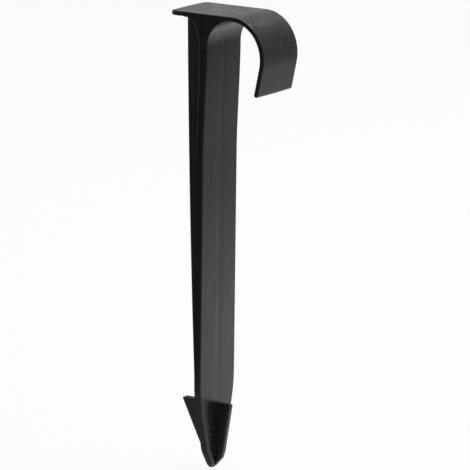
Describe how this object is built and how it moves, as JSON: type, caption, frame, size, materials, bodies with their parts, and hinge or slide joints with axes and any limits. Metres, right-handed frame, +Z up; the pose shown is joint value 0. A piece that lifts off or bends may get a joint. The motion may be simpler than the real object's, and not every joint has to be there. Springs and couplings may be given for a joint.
{
  "type": "drip tube stake",
  "caption": "Plastic ground stake with a flat strike plate, an over-curled hook for a drip line, a T-section shaft and a barbed spear point.",
  "frame": {"origin": "the tip of the spear point, which goes into the ground first", "axes": "+Z up the shaft from the tip to the strike face, +X to the side that the hook curls over, Y across the blade, which is the same on both sides of Y = 0"},
  "size_m": [0.0355, 0.0202, 0.15],
  "materials": {
    "stake_plastic": "charcoal black moulded polypropylene, satin, slightly uneven sheen"
  },
  "bodies": {
    "root": {"strike_plate": "stake_plastic", "hook_curl": "stake_plastic", "hook_tail": "stake_plastic", "shaft_neck": "stake_plastic", "shaft_blade": "stake_plastic", "rear_rib": "stake_plastic", "spear_point": "stake_plastic", "rear_barb": "stake_plastic", "front_barb": "stake_plastic"}
  },
  "joints": []
}
